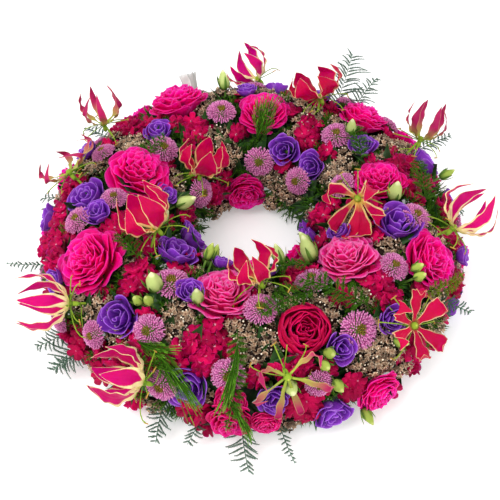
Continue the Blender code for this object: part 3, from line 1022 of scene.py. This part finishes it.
class Wreath:
    """Sets the pieces in their places and keeps a list of the room that each bloom takes."""

    # Each kind: how it is made, its finishes and a slot name
    kinds = {
        "rose": (rose_shape, ("rose pink", "stalk green"), "rose"),
        "lisianthus": (lisianthus_shape, ("lisianthus violet", "stalk green"), "lisianthus"),
        "chrysanthemum": (chrysanthemum_shape, BUTTON_FINISHES, "chrysanthemum"),
        "sedum": (sedum_shape, ("sedum star", "sedum stalk painted shade", "stalk green"), "sedum"),
        "dianthus": (dianthus_shape, ("dianthus magenta", "stalk green", "dianthus stalk painted shade"), "dianthus"),
        "bud": (bud_shape, ("bud cream", "stalk green"), "frond"),
        "tube": (tube_shape, ("pale bloom", "stalk green"), "frond"),
        "sprig": (sprig_shape, ("fern green",), "frond"),
    }

    def __init__(self):
        self.finish = make_materials()
        self.taken = []

    def piece(self, name, shape, matrix, finishes, slot, node=None):
        """Makes a piece of its shape, in its place, with what would sink into the ground laid on it."""
        whole = shape.finished()
        bmesh.ops.transform(whole, matrix=matrix, verts=whole.verts)
        for vertex in whole.verts:
            if vertex.co.z < GROUND_CLEARANCE:
                vertex.co.z = GROUND_CLEARANCE + GROUND_CREASE * (GROUND_CLEARANCE - vertex.co.z)
        for face in whole.faces:
            face.smooth = True
        mesh = bpy.data.meshes.new(name)
        whole.to_mesh(mesh)
        whole.free()
        for finish in finishes:
            mesh.materials.append(self.finish[finish])
        piece = set_out(name, mesh)
        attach(piece, "root")
        if node:
            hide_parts(node)

    def bloom(self, name, kind, matrix, width, stem_length, seed, node=None, color=None, **values):
        """One bloom, with its stem, turned at random about it."""
        rng = Chance(seed)
        make, finishes, slot = self.kinds[kind]
        shape = make(width, rng, stem_length, **values)
        turned = matrix @ Matrix.Rotation(rng.uniform(0, tau), 4, "Z")
        self.piece(name, shape, turned, (color or finishes[0], *finishes[1:]), slot, node)
        self.taken.append((matrix.translation, width / 2))

    def filler(self, name, kind, around, lean, width, seed, lift, **values):
        """One bloom on the dome, or this far above it, between those of the frame."""
        stem_length = dome_reach(lean) + lift - STEM_FOOT
        self.bloom(name, kind, dome_seat(around, lean, lift), width, stem_length, seed, **values)

    def room(self, around, lean, radius, closeness):
        """Whether a bloom of this radius fits here."""
        here = dome_seat(around, lean).translation
        return all((here - place).length > (radius + other) * closeness for place, other in self.taken)


def kind_of_nodes(kind):
    """The frame's nodes of this kind, in order."""
    return sorted(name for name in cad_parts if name.startswith(kind + "_"))


def set_heads(wreath):
    """The heads of the frame, as flowers."""
    swell = {"rose": 1.08, "lisianthus": 1.10, "chrysanthemum": 1.07, "sedum": 1.15, "dianthus": 1.15}
    for seed, kind in enumerate(swell, 1):
        for number, node in enumerate(kind_of_nodes(kind), 1):
            matrix, width, stem_length = head_seat(node)
            values = {"color": ROSE_COLORS.get(node), "cupped": 0.15} if kind == "rose" else {}
            if node == BALLED_ROSE:
                values |= {"cupped": 1.0, "petals": 30}
                width *= BALLED_WIDTH
            name, width = "%s_head_%02d" % (kind, number), width * swell[kind]
            wreath.bloom(name, kind, matrix, width, stem_length, 1000 * seed + number, node, **values)


def set_lilies(wreath):
    """The flame lilies, standing out over the other flowers."""
    for number, (node, values) in enumerate(zip(kind_of_nodes("gloriosa"), FLAME_LILIES), 1):
        color, breadth, share, hang = values
        matrix, spread, sweep, stem = lily_seat(node)
        local = matrix.to_3x3().inverted()
        seen_from, front = local @ TO_CAMERA, local @ VIEW_DOWN
        turn, front = atan2(seen_from.y, seen_from.x) + FAN_TURN, atan2(front.y, front.x)
        rng = Chance(9000 + number)
        shape = lily_shape(spread * share, sweep * 0.97, breadth / 1000, turn, hang, front, rng)
        start = matrix.inverted() @ Vector(stem.core + stem.axis * STEM_FOOT)
        add_spike(shape, start, UP * 0, 0.0032, 0.4, 0.0026, sides=6, material=1)
        wreath.piece("flame_lily_%02d" % number, shape, matrix, (color, "lily hub", "anther"), "gloriosa", node)


def set_fillers(wreath):
    """The smaller blooms between the heads."""
    dianthus = [(*place, DIANTHUS_WIDTH) for place in DIANTHUS]
    sedum = [(*place, SEDUM_WIDTH) for place in SEDUM]
    for first_seed, name, kind, places, lift in (
        (2001, "spray_rose", "rose", SPRAY_ROSES, 0.0),
        (2101, "lisianthus_bloom", "lisianthus", LISIANTHUS, 0.003),
        (2201, "chrysanthemum_button", "chrysanthemum", CHRYSANTHEMUMS, 0.002),
        (2301, "bud", "bud", BUDS, 0.008),
        (2400, "closed_bloom", "tube", CLOSED_BLOOM, 0.006),
        (2501, "dianthus_sprig", "dianthus", dianthus, -0.005),
        (2601, "sedum_sprig", "sedum", sedum, -0.008),
    ):
        for number, (around, lean, width) in enumerate(places):
            values = {"color": "rose deep", "cupped": 0.3} if kind == "rose" else {}
            if kind == "bud" and width < GREEN_BUD_BELOW:
                values = {"color": "bud green"}
            if kind == "dianthus" and lean < CRIMSON_BELOW:
                values = {"color": "dianthus crimson"}
            full_name = "%s_%02d" % (name, number + 1) if len(places) > 1 else name
            wreath.filler(full_name, kind, around, lean, width / 1000, first_seed + number, lift, **values)


def fill_gaps(wreath):
    """Blooms where none stand yet: large ones too where the front view doesn't reach, then small clusters."""
    rng = Chance(77)
    counts, bunches = {}, {}
    for attempt in range(TRIES):
        around, lean = rng.uniform(0, 360), rng.uniform(-12, 192)
        hidden = faces_camera(around, lean) < HIDDEN_BELOW
        kind = rng.choice(tuple(LARGE) if hidden and attempt < LARGE_TRIES else GAP_KINDS)
        small = attempt > SMALL_FROM
        width, simpler = LARGE.get(kind, (SMALL_CLUSTER_WIDTH if small else CLUSTER_WIDTH, None))
        width = rng.near(width, 0.12)
        closeness = SMALL_CLOSENESS if small else HIDDEN_CLOSENESS if hidden else CLOSENESS
        if not wreath.room(around, lean, width / 2, closeness):
            continue
        seed = 3000 + attempt
        if simpler:
            counts[kind] = counts.get(kind, 0) + 1
            name = "%s_gap_%02d" % (kind, counts[kind])
            wreath.filler(name, kind, around, lean, width, seed, -0.002, **simpler)
            continue
        bunch = (kind, int(around // 45) + 1)
        if bunch not in bunches:
            bunches[bunch] = Shape()
        lift = SMALL_CLUSTER_LIFT if small else CLUSTER_LIFT
        place = dome_seat(around, lean, lift)
        shape = wreath.kinds[kind][0](width, Chance(seed), dome_reach(lean) + lift - STEM_FOOT)
        bunches[bunch].take(shape, place)
        wreath.taken.append((place.translation, width / 2))
    for (kind, stretch), bunch in bunches.items():
        wreath.piece("%s_bunch_%d" % (kind, stretch), bunch, Matrix.Identity(4), *wreath.kinds[kind][1:])


def set_ferns(wreath):
    """Fern fronds out past the rim, and soft plumes of fern laid over the flowers."""

    def outer_frond(name, matrix, start, end, width, seed, droop, fluff, spacing, node=None):
        """A grey frond from start to end along its stem, which runs on down to its foot."""
        shape = fern_shape(end - start, width, Chance(seed), droop, fluff, needle=0.0034, spacing=spacing)
        add_stem(shape, start - STEM_FOOT, 0.002, 0.0018, 0.0014, 0.2, sides=4)
        wreath.piece(name, shape, matrix, ("fern grey",), "frond", node)

    for number, (node, share) in enumerate(zip(kind_of_nodes("fern_frond"), FROND_WIDTHS), 1):
        stem = StemNode(node)
        start, end, width = 0.050, float(stem.along.max()), share * float(stem.off_axis.max())
        name, matrix, seed = "fern_frond_piece_%02d" % number, stem.matrix(start), 700 + number
        outer_frond(name, matrix, start, end, width, seed, droop=0.04, fluff=0.25, spacing=0.0050, node=node)
    for number, (around, lean, reach, width) in enumerate(RIM_FERNS, 1):
        start, end, width = 0.055, reach / 1000, width / 1000 * 1.25
        name = "rim_fern_%02d" % number
        matrix = ring_frame(around, lean) @ Matrix.Translation((0, 0, start)) @ Matrix.Rotation(pi / 2, 4, "Z")
        outer_frond(name, matrix, start, end, width, 720 + number, droop=0.08, fluff=0.35, spacing=0.0046)
    for number, (around, lean, heading, length, width) in enumerate(PLUMES, 1):
        length, width, rng = length / 1000, width / 1000, Chance(740 + number)
        shape = fern_shape(length, width, rng, droop=0.16, fluff=0.9, needle=0.0070, spacing=0.0062)
        place = laid_over(around, lean, heading, length)
        finish = "fern olive" if number == OLIVE_PLUME else "fern green"
        wreath.piece("fern_plume_%02d" % number, shape, place, (finish,), "frond")
    for number, (around, lean, heading, length, width) in enumerate(BRUSHES, 1):
        shape = brush_shape(length / 1000, width / 1000, Chance(760 + number))
        place = laid_over(around, lean, heading, length / 1000)
        wreath.piece("fern_brush_%02d" % number, shape, place, ("fern green",), "frond")


def set_leaves(wreath):
    """Leaves that cover the foam, in stretches of the ring, with some standing up between the flowers."""
    for number in range(LEAF_STRETCHES):
        rng = Chance(800 + number)
        shape = Shape()
        for count in range(LEAVES_EACH):
            around = (number + rng.random()) * 360 / LEAF_STRETCHES
            outer = count % 3 == 1
            lean = rng.uniform(-12, 48) if outer else rng.uniform(-16, 196)
            tall = count % 6 == 0
            length = rng.near(0.030 if tall else 0.042, 0.25)
            depth = dome_reach(lean) - (0.026 if tall else rng.uniform(0.030 if outer else 0.024, 0.042))
            tilt = rng.uniform(0.15, 0.9) if tall else rng.uniform(1.0, 1.5)
            matrix = ring_frame(around, lean) @ Matrix.Translation((0, 0, depth))
            matrix = matrix @ Matrix.Rotation(rng.uniform(0, tau), 4, "Z") @ Matrix.Rotation(tilt, 4, "X")
            width = rng.near(0.009 if tall else 0.022 if outer else 0.015, 0.25)
            add_leaf(shape, matrix, length, width, rng.uniform(0.0, 0.3), rng.uniform(0.1, 0.4), rng)
        wreath.piece("leaf_bed_%02d" % (number + 1), shape, Matrix.Identity(4), ("leaf green",), "frond")


def finish_frame_pieces(finish):
    """The foam and the tray keep their own shapes and take a finer finish."""
    for node, material in (("foam_ring", "floral foam"), ("base_tray", "tray plastic")):
        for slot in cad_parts[node].material_slots:
            slot.material = finish[material]


# ---------------- the studio


def set_out(name, data):
    """A new object in the scene."""
    made = bpy.data.objects.new(name, data)
    bpy.context.scene.collection.objects.link(made)
    return made


def add_floor():
    """A plain white floor."""
    shape = bmesh.new()
    bmesh.ops.create_grid(shape, x_segments=1, y_segments=1, size=12)
    mesh = bpy.data.meshes.new("floor")
    shape.to_mesh(mesh)
    shape.free()
    paint, tree, shader = new_material("floor white")
    fill(tree, shader, {
        "Base Color": (0.90, 0.90, 0.90, 1),
        "Roughness": 0.9,
        "Emission Color": (1, 1, 1, 1),
        "Emission Strength": 0.30,
    })
    mesh.materials.append(paint)
    set_out("floor", mesh)


def add_light():
    """A bright even sky and two large soft lamps."""
    world = bpy.data.worlds.new("studio")
    world.use_nodes = True
    fill(world.node_tree, world.node_tree.nodes["Background"], {"Color": (1, 1, 1, 1), "Strength": 0.92})
    bpy.context.scene.world = world
    for name, place, size, power in (
        ("key light", (-0.7, -0.6, 1.5), 0.8, 14.0),
        ("fill light", (1.1, -0.9, 0.9), 1.0, 5.0),
    ):
        lamp = bpy.data.lights.new(name, "AREA")
        lamp.size = size
        lamp.energy = power
        holder = set_out(name, lamp)
        holder.location = place
        holder.rotation_euler = (-Vector(place)).to_track_quat("-Z", "Y").to_euler()


def add_camera():
    """The view down onto the front of the wreath."""
    lens = bpy.data.cameras.new("camera")
    lens.lens = 54.8
    lens.sensor_width = 36
    holder = set_out("camera", lens)
    aim, distance = Vector((-0.0023, -0.0194, 0.0339)), 0.89
    holder.location = aim + TO_CAMERA * distance
    holder.rotation_euler = (pi / 2 - CAMERA_RISE, 0, 0)
    bpy.context.scene.camera = holder
    bpy.context.scene.view_settings.view_transform = "Standard"


def main():
    """The studio, then the wreath from its heads out."""
    add_camera()
    add_light()
    add_floor()
    wreath = Wreath()
    finish_frame_pieces(wreath.finish)
    set_heads(wreath)
    set_fillers(wreath)
    fill_gaps(wreath)
    set_lilies(wreath)
    set_ferns(wreath)
    set_leaves(wreath)


main()
